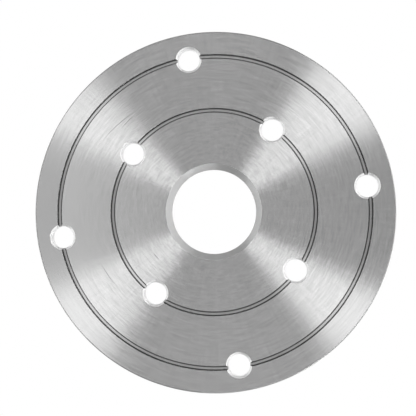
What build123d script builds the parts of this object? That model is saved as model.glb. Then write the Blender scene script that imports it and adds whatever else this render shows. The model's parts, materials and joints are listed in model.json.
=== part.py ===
from build123d import *
import os

# A plain one-piece brake disc: a turned steel plate with a chamfered centre bore, an inner and
# an outer ring of bolt holes, and a shallow turned groove just outside each ring's pitch circle.
# The axis is Z and the origin is the bore's centre on the back face. The grooved face is up.
# All sizes are in millimetres and degrees.

# The plate
DISC_DIAMETER = 180.0
THICKNESS = 6.0
RIM_CHAMFER = 0.5

# The centre bore, which sits on the hub's spigot
BORE_DIAMETER = 42.0
BORE_FRONT_CHAMFER = 3.0
BORE_BACK_CHAMFER = 0.4

# The bolt holes, with room for M10 screws. The outer ring is placed from the rim.
HOLES_PER_RING = 4
HOLE_DIAMETER = 11.0
HOLE_FRONT_CHAMFER = 1.0
HOLE_BACK_CHAMFER = 0.4
INNER_PITCH_DIAMETER = 100.0
INNER_RING_ANGLE = 45.0
RIM_TO_OUTER_PITCH = 13.0
OUTER_PITCH_DIAMETER = DISC_DIAMETER - 2 * RIM_TO_OUTER_PITCH
OUTER_RING_ANGLE = 0.0

# The grooves: a flat floor between two sloping flanks
GROOVE_FLOOR_WIDTH = 1.0
GROOVE_DEPTH = 1.0
GROOVE_FLANK_WIDTH = 0.7
GROOVE_OUTSIDE_PITCH = 0.65

# How far a cutter stands out of the face it cuts
CUTTER_OVERRUN = 1.0


def revolved(outline):
    """The solid that an outline of (radius, height) points sweeps about the Z axis."""
    section = make_face(Plane.XZ * Polyline(*outline, close=True))
    return revolve(section, axis=Axis.Z)


def blank():
    """The solid plate with its rim edges broken."""
    rim = DISC_DIAMETER / 2
    return revolved([
        (0, 0),
        (rim - RIM_CHAMFER, 0),
        (rim, RIM_CHAMFER),
        (rim, THICKNESS - RIM_CHAMFER),
        (rim - RIM_CHAMFER, THICKNESS),
        (0, THICKNESS),
    ])


def through_hole(diameter, front_chamfer, back_chamfer):
    """The cutter for a hole along Z through the plate, with a 45 degree chamfer at each end."""
    wall = diameter / 2
    return revolved([
        (0, -CUTTER_OVERRUN),
        (wall + back_chamfer + CUTTER_OVERRUN, -CUTTER_OVERRUN),
        (wall, back_chamfer),
        (wall, THICKNESS - front_chamfer),
        (wall + front_chamfer + CUTTER_OVERRUN, THICKNESS + CUTTER_OVERRUN),
        (0, THICKNESS + CUTTER_OVERRUN),
    ])


def hole_ring(pitch_diameter, first_angle):
    """The cutters for one ring of bolt holes."""
    cutter = through_hole(HOLE_DIAMETER, HOLE_FRONT_CHAMFER, HOLE_BACK_CHAMFER)
    places = PolarLocations(pitch_diameter / 2, HOLES_PER_RING, start_angle=first_angle)
    return [place * cutter for place in places]


def groove(pitch_diameter):
    """The ring cutter for the groove that runs just outside a pitch circle."""
    middle = pitch_diameter / 2 + GROOVE_OUTSIDE_PITCH
    half_floor = GROOVE_FLOOR_WIDTH / 2
    half_mouth = half_floor + GROOVE_FLANK_WIDTH
    floor = THICKNESS - GROOVE_DEPTH
    above = THICKNESS + CUTTER_OVERRUN
    return revolved([
        (middle - half_floor, floor),
        (middle + half_floor, floor),
        (middle + half_mouth, THICKNESS),
        (middle + half_mouth, above),
        (middle - half_mouth, above),
        (middle - half_mouth, THICKNESS),
    ])


def brake_disc():
    """The finished disc."""
    disc = blank() - through_hole(BORE_DIAMETER, BORE_FRONT_CHAMFER, BORE_BACK_CHAMFER)
    for pitch_diameter, first_angle in (
        (INNER_PITCH_DIAMETER, INNER_RING_ANGLE),
        (OUTER_PITCH_DIAMETER, OUTER_RING_ANGLE),
    ):
        disc -= groove(pitch_diameter)
        disc -= hole_ring(pitch_diameter, first_angle)
    return disc


os.makedirs("parts", exist_ok=True)
export_step(brake_disc(), "parts/brake_disc.step")
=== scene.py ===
import json
import math

import bmesh
import bpy
import numpy as np
from mathutils import Matrix, Vector


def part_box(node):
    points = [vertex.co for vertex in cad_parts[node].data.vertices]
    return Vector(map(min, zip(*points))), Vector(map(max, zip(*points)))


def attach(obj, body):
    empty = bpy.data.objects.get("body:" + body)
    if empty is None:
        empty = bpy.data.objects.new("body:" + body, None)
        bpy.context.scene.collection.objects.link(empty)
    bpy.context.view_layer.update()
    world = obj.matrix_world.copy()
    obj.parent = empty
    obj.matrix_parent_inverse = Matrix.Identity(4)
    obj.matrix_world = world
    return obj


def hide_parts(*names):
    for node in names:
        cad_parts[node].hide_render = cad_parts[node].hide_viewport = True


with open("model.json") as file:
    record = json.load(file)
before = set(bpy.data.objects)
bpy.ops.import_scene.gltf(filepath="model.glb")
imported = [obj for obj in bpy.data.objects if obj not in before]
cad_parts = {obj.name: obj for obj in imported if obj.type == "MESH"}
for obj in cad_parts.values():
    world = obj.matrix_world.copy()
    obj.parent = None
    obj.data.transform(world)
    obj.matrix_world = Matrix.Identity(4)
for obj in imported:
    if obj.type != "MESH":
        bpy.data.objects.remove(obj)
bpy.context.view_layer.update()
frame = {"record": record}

# One steel disc, turned and drilled, lies face up on a white floor in a soft, pale surround.

# ---------------------------------------------------------------- sizes, in metres
MM = 0.001
NODE = "brake_disc"
MOUNTS = {mount["name"]: mount for mount in frame["record"]["mounts"]}
low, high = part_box(NODE)
RIM = (high.x - low.x) / 2
THICKNESS = high.z - low.z
BORE = MOUNTS["centre_bore"]["dims"]["r_mm"] * MM

# each ring of bolt holes: its mount and the angle of its first hole
INNER_RING = ("inner_bolt_circle", math.radians(45))
OUTER_RING = ("outer_bolt_circle", 0.0)

RIM_CHAMFER = 0.5 * MM
BORE_FRONT_CHAMFER = 3.0 * MM
HOLE_FRONT_CHAMFER = 1.0 * MM
BACK_CHAMFER = 0.4 * MM
GROOVE_OUTSIDE_PITCH = 0.65 * MM
GROOVE_HALF_FLOOR = 0.5 * MM
GROOVE_FLANK = 0.7 * MM
GROOVE_DEPTH = 1.0 * MM

# how finely the mesh follows the turned shape
EDGE_ROUNDING = 0.1 * MM
RIM_ROUNDING = 0.2 * MM
GROOVE_LIP_ROUNDING = 0.04 * MM
EDGE_STEPS = 3
DISC_SEGMENTS = 720
HOLE_SEGMENTS = 96
CUTTER_OVERRUN = 1.0 * MM

# kinds of surface, which are also the disc's material slots
FACE, OUTER_LAND, CHAMFER, HOLE_CHAMFER, GROOVE_FLOOR, GROOVE_SIDE, WALL, RIM_EDGE = range(8)


# ---------------------------------------------------------------- shape
def pitch_radius(ring):
    return MOUNTS[ring[0]]["dims"]["pcd_mm"] / 2 * MM


def groove_corners(ring):
    """A groove's corners from the outside in, each with the kind of surface that follows it."""
    middle = pitch_radius(ring) + GROOVE_OUTSIDE_PITCH
    floor = THICKNESS - GROOVE_DEPTH
    return [
        (middle + GROOVE_HALF_FLOOR + GROOVE_FLANK, THICKNESS, GROOVE_SIDE),
        (middle + GROOVE_HALF_FLOOR, floor, GROOVE_FLOOR),
        (middle - GROOVE_HALF_FLOOR, floor, GROOVE_SIDE),
        (middle - GROOVE_HALF_FLOOR - GROOVE_FLANK, THICKNESS, FACE),
    ]


def disc_corners():
    """The disc's outline as (radius, height, kind of surface that follows), anticlockwise."""
    return [
        (BORE + BACK_CHAMFER, 0, FACE),
        (RIM - RIM_CHAMFER, 0, RIM_EDGE),
        (RIM, RIM_CHAMFER, RIM_EDGE),
        (RIM, THICKNESS - RIM_CHAMFER, RIM_EDGE),
        (RIM - RIM_CHAMFER, THICKNESS, OUTER_LAND),
        *groove_corners(OUTER_RING),
        *groove_corners(INNER_RING),
        (BORE + BORE_FRONT_CHAMFER, THICKNESS, CHAMFER),
        (BORE, THICKNESS - BORE_FRONT_CHAMFER, WALL),
        (BORE, BACK_CHAMFER, CHAMFER),
    ]


def hole_corners(radius):
    """The side of a cutter for one bolt hole and its two chamfers, from the bottom up."""
    back_flare = BACK_CHAMFER + CUTTER_OVERRUN
    front_flare = HOLE_FRONT_CHAMFER + CUTTER_OVERRUN
    return [
        (radius + back_flare, -CUTTER_OVERRUN, HOLE_CHAMFER),
        (radius, BACK_CHAMFER, WALL),
        (radius, THICKNESS - HOLE_FRONT_CHAMFER, HOLE_CHAMFER),
        (radius + front_flare, THICKNESS + CUTTER_OVERRUN, HOLE_CHAMFER),
    ]


def side_normal(start, end):
    along = (Vector(end) - Vector(start)).normalized()
    return Vector((along.y, -along.x))


def corner_rounding(kind_before, kind_after):
    """The rounding between two kinds of surface. A groove is sharp but for its outer lip."""
    if kind_before in (FACE, OUTER_LAND) and kind_after == GROOVE_SIDE:
        return GROOVE_LIP_ROUNDING
    if GROOVE_SIDE in (kind_before, kind_after):
        return 0.0
    if RIM_EDGE in (kind_before, kind_after):
        return RIM_ROUNDING
    return EDGE_ROUNDING


def corner_arc(before, corner, after, rounding):
    """Points and normals of a small arc that rounds one corner of an outline, or keeps it sharp."""
    start_normal = side_normal(before, corner)
    end_normal = side_normal(corner, after)
    turn = start_normal.angle_signed(end_normal)
    bulge = -math.copysign(rounding, turn)
    tangent_length = rounding * math.tan(abs(turn) / 2)
    start = Vector(corner) + (Vector(before) - Vector(corner)).normalized() * tangent_length
    centre = start - start_normal * bulge
    normals = [start_normal.slerp(end_normal, step / EDGE_STEPS) for step in range(EDGE_STEPS + 1)]
    return [(centre + normal * bulge, normal) for normal in normals]


def rounded_sides(corners, closed):
    """Short straight sides of an outline with rounded corners: (start, end, their normals, kind)."""
    places = [corner[:2] for corner in corners]
    kinds = [corner[2] for corner in corners]
    count = len(corners)
    arcs = []
    for k in range(count):
        if closed or 0 < k < count - 1:
            rounding = corner_rounding(kinds[k - 1], kinds[k])
            arcs.append(corner_arc(places[k - 1], places[k], places[(k + 1) % count], rounding))
        else:
            neighbour = (places[0], places[1]) if k == 0 else (places[-2], places[-1])
            arcs.append([(Vector(places[k]), side_normal(*neighbour))])
    sides = []
    for k in range(count):
        beside = (kinds[k - 1], kinds[k])
        edge_kind = RIM_EDGE if RIM_EDGE in beside else min(beside)
        sides += [(*a, *b, edge_kind) for a, b in zip(arcs[k], arcs[k][1:])]
        if closed or k < count - 1:
            sides.append((*arcs[k][-1], *arcs[(k + 1) % count][0], kinds[k]))
    return [side for side in sides if side[0] != side[2]]


def revolved(name, sides, segments, centre, cutter):
    """A mesh turned about the upright line through centre, with its true normals as an attribute."""
    turns = [2 * math.pi * i / segments for i in range(segments)]
    rows = [side[0] for side in sides]
    if cutter:
        rows.append(sides[-1][2])
    points = []
    for radius, height in rows:
        points += [centre + Vector((radius * math.cos(t), radius * math.sin(t), height)) for t in turns]
    facing = -1 if cutter else 1
    faces, normals, kinds = [], [], []
    for k, (_, start_normal, _, end_normal, kind) in enumerate(sides):
        first, second = k * segments, (k + 1) % len(rows) * segments
        for i in range(segments):
            j = (i + 1) % segments
            faces.append((first + i, first + j, second + j, second + i))
            for normal, t in ((start_normal, i), (start_normal, j), (end_normal, j), (end_normal, i)):
                turned = Matrix.Rotation(turns[t], 3, "Z") @ Vector((normal.x, 0, normal.y))
                normals.append(facing * turned)
            kinds.append(kind)
    if cutter:
        last = (len(rows) - 1) * segments
        faces += [tuple(reversed(range(segments))), tuple(range(last, last + segments))]
        normals += [Vector((0, 0, 1))] * (2 * segments)
        kinds += [WALL, WALL]
    mesh = bpy.data.meshes.new(name)
    mesh.from_pydata(points, [], faces)
    mesh.polygons.foreach_set("material_index", kinds)
    true_normal = mesh.attributes.new("true_normal", "FLOAT_VECTOR", "CORNER")
    true_normal.data.foreach_set("vector", np.array(normals, np.float32).ravel())
    lay_centre = mesh.attributes.new("lay_centre", "FLOAT_VECTOR", "FACE")
    lay_centre.data.foreach_set("vector", np.tile(np.array(centre, np.float32), len(faces)))
    return mesh


def hole_centres(ring):
    count = MOUNTS[ring[0]]["dims"]["count"]
    for i in range(count):
        turn = ring[1] + 2 * math.pi * i / count
        yield pitch_radius(ring) * Vector((math.cos(turn), math.sin(turn), 0))


def add_object(name, data):
    added = bpy.data.objects.new(name, data)
    bpy.context.scene.collection.objects.link(added)
    return added


def hole_cutter(materials):
    """All the bolt holes as one object."""
    joined = bmesh.new()
    for ring in (INNER_RING, OUTER_RING):
        sides = rounded_sides(hole_corners(MOUNTS[ring[0]]["dims"]["hole_r_mm"] * MM), closed=False)
        for centre in hole_centres(ring):
            one = revolved("hole", sides, HOLE_SEGMENTS, centre, cutter=True)
            joined.from_mesh(one)
            bpy.data.meshes.remove(one)
    mesh = bpy.data.meshes.new("holes")
    joined.to_mesh(mesh)
    joined.free()
    for material in materials:
        mesh.materials.append(material)
    return add_object("holes", mesh)


def brake_disc(materials):
    sides = rounded_sides(disc_corners(), closed=True)
    blank = revolved("turned_disc", sides, DISC_SEGMENTS, Vector((0, 0, 0)), cutter=False)
    for material in materials:
        blank.materials.append(material)
    disc = add_object("turned_disc", blank)
    cutter = hole_cutter(materials)
    boolean = disc.modifiers.new("holes", "BOOLEAN")
    boolean.operation = "DIFFERENCE"
    boolean.solver = "EXACT"
    boolean.object = cutter
    drilled = bpy.data.meshes.new_from_object(disc.evaluated_get(bpy.context.evaluated_depsgraph_get()))
    disc.modifiers.clear()
    disc.data = drilled
    bpy.data.objects.remove(cutter)
    normals = np.empty(3 * len(drilled.loops), np.float32)
    drilled.attributes["true_normal"].data.foreach_get("vector", normals)
    drilled.attributes.remove(drilled.attributes["true_normal"])
    drilled.normals_split_custom_set(normals.reshape(-1, 3).tolist())
    return disc


# ---------------------------------------------------------------- materials
class Tree:
    """Short calls to add nodes to a material or a world and join them."""

    def __init__(self, owner):
        owner.use_nodes = True
        self.owner = owner
        self.nodes = owner.node_tree.nodes
        self.nodes.clear()

    def join(self, value, socket):
        if isinstance(value, bpy.types.NodeSocket):
            self.owner.node_tree.links.new(value, socket)
        else:
            socket.default_value = value

    def add(self, kind, **settings):
        node = self.nodes.new(kind)
        for key, value in settings.items():
            setattr(node, key, value)
        return node

    def math(self, operation, *values):
        node = self.add("ShaderNodeMath", operation=operation)
        for value, socket in zip(values, node.inputs):
            self.join(value, socket)
        return node.outputs[0]

    def vector(self, operation, *values):
        node = self.add("ShaderNodeVectorMath", operation=operation)
        for value, socket in zip(values, node.inputs):
            self.join(value, socket)
        return node.outputs["Value" if operation in ("LENGTH", "DOT_PRODUCT") else "Vector"]

    def scaled(self, vector, scale):
        node = self.add("ShaderNodeVectorMath", operation="SCALE")
        self.join(vector, node.inputs[0])
        self.join(scale, node.inputs["Scale"])
        return node.outputs["Vector"]

    def ramp(self, value, first, last, start, end, kind="LINEAR"):
        """From start to end while the value runs from first to last, and held beyond both."""
        node = self.add("ShaderNodeMapRange", interpolation_type=kind)
        settings = {"Value": value, "From Min": first, "From Max": last, "To Min": start, "To Max": end}
        for key, setting in settings.items():
            self.join(setting, node.inputs[key])
        return node.outputs["Result"]

    def noise(self, place, detail):
        """Noise about 0, from about -0.5 to 0.5."""
        node = self.add("ShaderNodeTexNoise")
        node.inputs["Scale"].default_value = 1.0
        node.inputs["Detail"].default_value = detail
        self.join(place, node.inputs["Vector"])
        return self.math("SUBTRACT", node.outputs["Fac"], 0.5)


# scratches along the lay of the face: first and last angle in degrees, first and last radius in mm
SCRATCHES = [(118, 137, 63.8, 66.2), (120, 128, 62.7, 62.6), (205, 212, 36.4, 36.2), (196, 207, 62.0, 61.2)]
SCRATCH_WIDTH = 0.25 * MM
SCRATCH_DARKNESS = 0.5


def scratch_mask(tree, place, radius):
    """1 on the scratches and 0 elsewhere."""
    parts = tree.add("ShaderNodeSeparateXYZ")
    tree.join(place, parts.inputs[0])
    angle = tree.math("ARCTAN2", parts.outputs["Y"], parts.outputs["X"])
    angle = tree.math("WRAP", angle, 2 * math.pi, 0.0)
    mask = 0.0
    for first_angle, last_angle, first_radius, last_radius in SCRATCHES:
        step = tree.math("SUBTRACT", angle, math.radians(first_angle))
        step = tree.math("DIVIDE", step, math.radians(last_angle - first_angle))
        line = tree.math("MULTIPLY_ADD", step, (last_radius - first_radius) * MM, first_radius * MM)
        beside = tree.math("ABSOLUTE", tree.math("SUBTRACT", radius, line))
        across = tree.math("SUBTRACT", 1.0, tree.math("DIVIDE", beside, SCRATCH_WIDTH))
        # 0 at both ends of the scratch and 1 halfway along it
        ends = tree.math("MULTIPLY", tree.math("MULTIPLY", step, tree.math("SUBTRACT", 1.0, step)), 4.0)
        one = tree.math("MULTIPLY", tree.math("MAXIMUM", across, 0.0), tree.math("MAXIMUM", ends, 0.0))
        mask = tree.math("ADD", one, mask)
    return mask


# tool marks as noise: steps to a radian around the axis, steps to a millimetre across it, and a shift
FINE_MARKS = (8.0, 1.3, 17.0)
COARSE_MARKS = (4.0, 0.3, 3.0)
RAY_MARKS = (70.0, 0.06, 31.0)
MARKS_DETAIL = 2.0
CLOUD_SCALE = 60.0
CLOUD_DETAIL = 3.0

# how far each noise moves the tone, the roughness and the direction of the lay
TONE_SWINGS = {"fine": 0.22, "coarse": 0.03, "rays": 0.10, "cloud": 0.05}
ROUGHNESS_SWINGS = {"fine": 0.4, "coarse": 0.08, "rays": 0.25}
LAY_SWING = 0.05
LAY_ROTATION = 0.25


def turned_metal(name, grey, roughness, anisotropy=1.0, scratched=False):
    """Bare steel whose fine tool marks run in circles about the surface's own axis."""
    tree = Tree(bpy.data.materials.new(name))
    place = tree.add("ShaderNodeTexCoord").outputs["Object"]
    centre = tree.add("ShaderNodeAttribute", attribute_name="lay_centre").outputs["Vector"]
    arm = tree.vector("MULTIPLY", tree.vector("SUBTRACT", place, centre), (1, 1, 0))
    radius = tree.vector("LENGTH", arm)
    outward = tree.vector("NORMALIZE", arm)
    along = tree.vector("CROSS_PRODUCT", (0, 0, 1), outward)

    def streaks(around, per_mm, offset):
        """Noise drawn out in circles about the axis."""
        lift = tree.add("ShaderNodeCombineXYZ")
        across = tree.math("MULTIPLY_ADD", radius, per_mm / MM, offset)
        tree.join(across, lift.inputs["Z"])
        lifted = tree.vector("ADD", tree.scaled(outward, around), lift.outputs[0])
        return tree.noise(lifted, MARKS_DETAIL)

    noises = {
        "fine": streaks(*FINE_MARKS),
        "coarse": streaks(*COARSE_MARKS),
        "rays": streaks(*RAY_MARKS),
        "cloud": tree.noise(tree.scaled(place, CLOUD_SCALE), CLOUD_DETAIL),
    }

    def varied(value, swings):
        """A value that each noise moves up and down by its own share."""
        factor = 1.0
        for key, share in swings.items():
            factor = tree.math("MULTIPLY_ADD", noises[key], share, factor)
        return tree.math("MULTIPLY", factor, value)

    tone = varied(grey, TONE_SWINGS)
    if scratched:
        clear = tree.math("MULTIPLY_ADD", scratch_mask(tree, place, radius), -SCRATCH_DARKNESS, 1.0)
        tone = tree.math("MULTIPLY", tone, clear)
    colour = tree.add("ShaderNodeCombineColor")
    for channel in colour.inputs:
        tree.join(tone, channel)
    wobble = tree.math("MULTIPLY", noises["fine"], LAY_SWING)
    tangent = tree.vector("ADD", along, tree.scaled(outward, wobble))

    metal = tree.add("ShaderNodeBsdfPrincipled")
    tree.join(colour.outputs[0], metal.inputs["Base Color"])
    tree.join(varied(roughness, ROUGHNESS_SWINGS), metal.inputs["Roughness"])
    tree.join(tree.vector("NORMALIZE", tangent), metal.inputs["Tangent"])
    metal.inputs["Metallic"].default_value = 1.0
    metal.inputs["Anisotropic"].default_value = anisotropy
    metal.inputs["Anisotropic Rotation"].default_value = LAY_ROTATION
    output = tree.add("ShaderNodeOutputMaterial")
    tree.join(metal.outputs[0], output.inputs["Surface"])
    return tree.owner


def steel_materials():
    """One material for each kind of surface, in the order of the kinds."""
    return [
        turned_metal("turned_face", grey=0.62, roughness=0.19, scratched=True),
        turned_metal("outer_land", grey=0.57, roughness=0.23),
        turned_metal("turned_chamfer", grey=0.40, roughness=0.43, anisotropy=0.8),
        turned_metal("hole_chamfer", grey=0.75, roughness=0.50, anisotropy=0.8),
        turned_metal("groove_floor", grey=0.50, roughness=0.30),
        # the groove flanks get a far darker grey than the face: painted shade for the grooves' dark lines,
        # which also keeps the flanks from catching glints
        turned_metal("groove_side_painted_shade", grey=0.21, roughness=0.20),
        turned_metal("drilled_wall", grey=0.85, roughness=0.30),
        turned_metal("rim_edge", grey=0.30, roughness=0.30),
    ]


disc = brake_disc(steel_materials())
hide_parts(NODE)
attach(disc, "root")

# ---------------------------------------------------------------- camera
# the view: its tilts from the disc's axis, its turn about it, and where it aims on the front face
VIEW_TILT_RIGHT = math.radians(4.5)
VIEW_TILT_DOWN = math.radians(1.9)
VIEW_TURN = math.radians(9.41)
VIEW_DISTANCE = 6.4 * RIM
VIEW_LENS = 100.2
VIEW_AIM_RIGHT = -2.82 * MM
VIEW_AIM_UP = 1.85 * MM
VIEW_CLIP_START = 10 * MM

front_centre = Vector((0, 0, THICKNESS))
picture_right = Vector((math.cos(VIEW_TURN), -math.sin(VIEW_TURN), 0))
picture_up = Vector((math.sin(VIEW_TURN), math.cos(VIEW_TURN), 0))


def facing_frame(backward, roughly_up):
    """A rotation whose local +Z is backward."""
    right = roughly_up.cross(backward).normalized()
    up = backward.cross(right)
    return Matrix((right, up, backward)).transposed().to_4x4()


def add_camera():
    sideways = picture_right * math.tan(VIEW_TILT_RIGHT) - picture_up * math.tan(VIEW_TILT_DOWN)
    backward = (sideways + Vector((0, 0, 1))).normalized()
    aim = front_centre + picture_right * VIEW_AIM_RIGHT + picture_up * VIEW_AIM_UP
    data = bpy.data.cameras.new("camera")
    data.lens = VIEW_LENS
    data.clip_start = VIEW_CLIP_START
    camera = add_object("camera", data)
    place = Matrix.Translation(aim + backward * VIEW_DISTANCE)
    camera.matrix_world = place @ facing_frame(backward, picture_up)
    bpy.context.scene.camera = camera


add_camera()


# ---------------------------------------------------------------- lights and floor
LIGHT_DISTANCE = 1.5


def softbox(name, azimuth, off_axis, half_width, half_height, radiance, tip=0.0, spread=180.0):
    """A light aimed at the disc, in degrees seen from its centre. The azimuth runs anticlockwise
    from the picture's right. Tip aims it past the disc, and a narrow spread shades the near side."""
    turn, lean = math.radians(azimuth), math.radians(off_axis)
    across = picture_right * math.cos(turn) + picture_up * math.sin(turn)
    backward = across * math.sin(lean) + Vector((0, 0, 1)) * math.cos(lean)
    data = bpy.data.lights.new(name, "AREA")
    data.shape = "RECTANGLE"
    data.size = 2 * LIGHT_DISTANCE * math.sin(lean) * math.tan(math.radians(half_width))
    data.size_y = 2 * LIGHT_DISTANCE * math.tan(math.radians(half_height))
    data.spread = math.radians(spread)
    data.energy = radiance * math.pi * data.size * data.size_y
    light = add_object(name, data)
    place = Matrix.Translation(front_centre + backward * LIGHT_DISTANCE)
    tipped = Matrix.Rotation(math.radians(tip), 4, "X")
    light.matrix_world = place @ facing_frame(backward, Vector((0, 0, 1))) @ tipped
    light.visible_camera = False


softbox("left_panel", azimuth=180, off_axis=20, half_width=35, half_height=5, radiance=1.05)
softbox("left_panel_wide", azimuth=180, off_axis=20, half_width=62, half_height=6, radiance=0.30)
softbox("right_wall", azimuth=0, off_axis=83, half_width=66, half_height=4.5, radiance=8)
softbox("left_wall", azimuth=180, off_axis=84, half_width=40, half_height=4.5, radiance=5)
softbox("bottom_wall", azimuth=-75, off_axis=84, half_width=22, half_height=4.5, radiance=5)
softbox("top_panel", azimuth=95, off_axis=40, half_width=30, half_height=8, radiance=0.85, tip=22, spread=72)
softbox("bottom_panel", azimuth=-90, off_axis=25, half_width=30, half_height=8, radiance=0.4)

# the surround's own light, and how much brighter it gets towards the picture's bottom
WORLD_LIGHT = 0.41
WORLD_LIFT_BELOW = 0.12

# Brighter wedges run out from the camera's mirror direction, each on both sides of it. They have a centre
# and a half width in degrees, and the light that they add on the right and on the left.
WEDGES = [(40.5, 14.2, 1.9, 1.25), (-37.7, 11.2, 2.0, 1.25)]
WEDGE_EDGE = 2.0
# how far out, as the sine of an angle, the wedges come up and fade, and where left turns into right
WEDGE_NEAR = (0.12, 0.24)
WEDGE_FAR = (0.70, 0.92)
WEDGE_MIDDLE = (-0.05, 0.05)


def add_world():
    tree = Tree(bpy.data.worlds.new("studio"))
    way = tree.add("ShaderNodeTexCoord").outputs["Generated"]
    right = tree.vector("DOT_PRODUCT", way, picture_right)
    up = tree.vector("DOT_PRODUCT", way, picture_up)
    below = tree.math("MULTIPLY", up, -1.0)
    light = tree.ramp(below, 0.0, 1.0, WORLD_LIGHT, WORLD_LIGHT + WORLD_LIFT_BELOW)

    across = tree.math("ADD", right, math.sin(VIEW_TILT_RIGHT))
    above = tree.math("SUBTRACT", up, math.sin(VIEW_TILT_DOWN))
    angle = tree.math("ARCTAN2", above, across)
    squares = tree.math("ADD", tree.math("MULTIPLY", across, across), tree.math("MULTIPLY", above, above))
    reach = tree.math("SQRT", squares)
    rise = tree.ramp(reach, *WEDGE_NEAR, 0.0, 1.0, "SMOOTHSTEP")
    fall = tree.ramp(reach, *WEDGE_FAR, 1.0, 0.0, "SMOOTHSTEP")
    reached = tree.math("MULTIPLY", rise, fall)
    for centre, half_width, right_light, left_light in WEDGES:
        off = tree.math("SUBTRACT", angle, math.radians(centre))
        off = tree.math("ABSOLUTE", tree.math("WRAP", off, math.pi / 2, -math.pi / 2))
        inner_edge = math.radians(half_width - WEDGE_EDGE)
        outer_edge = math.radians(half_width + WEDGE_EDGE)
        weight = tree.ramp(off, inner_edge, outer_edge, 1.0, 0.0, "SMOOTHSTEP")
        weight = tree.math("MULTIPLY", weight, reached)
        side_light = tree.ramp(across, *WEDGE_MIDDLE, left_light, right_light)
        light = tree.math("MULTIPLY_ADD", weight, side_light, light)

    background = tree.add("ShaderNodeBackground")
    background.inputs["Color"].default_value = (1, 1, 1, 1)
    tree.join(light, background.inputs["Strength"])
    output = tree.add("ShaderNodeOutputWorld")
    tree.join(background.outputs[0], output.inputs["Surface"])
    bpy.context.scene.world = tree.owner


add_world()


# a white floor that is as bright as the picture's background
FLOOR_HALF_SIZE = 5
FLOOR_GAP = 0.2 * MM
FLOOR_LIGHT = 1.0


def floor_white():
    tree = Tree(bpy.data.materials.new("floor_white"))
    emission = tree.add("ShaderNodeEmission")
    emission.inputs["Strength"].default_value = FLOOR_LIGHT
    output = tree.add("ShaderNodeOutputMaterial")
    tree.join(emission.outputs[0], output.inputs["Surface"])
    return tree.owner


def add_floor():
    mesh = bpy.data.meshes.new("floor")
    square = bmesh.new()
    bmesh.ops.create_grid(square, x_segments=1, y_segments=1, size=FLOOR_HALF_SIZE)
    square.to_mesh(mesh)
    square.free()
    mesh.materials.append(floor_white())
    floor = add_object("floor", mesh)
    floor.location.z = -FLOOR_GAP
    return floor


floor = add_floor()

bpy.context.scene.view_settings.view_transform = "Standard"
bpy.context.scene.view_settings.look = "None"
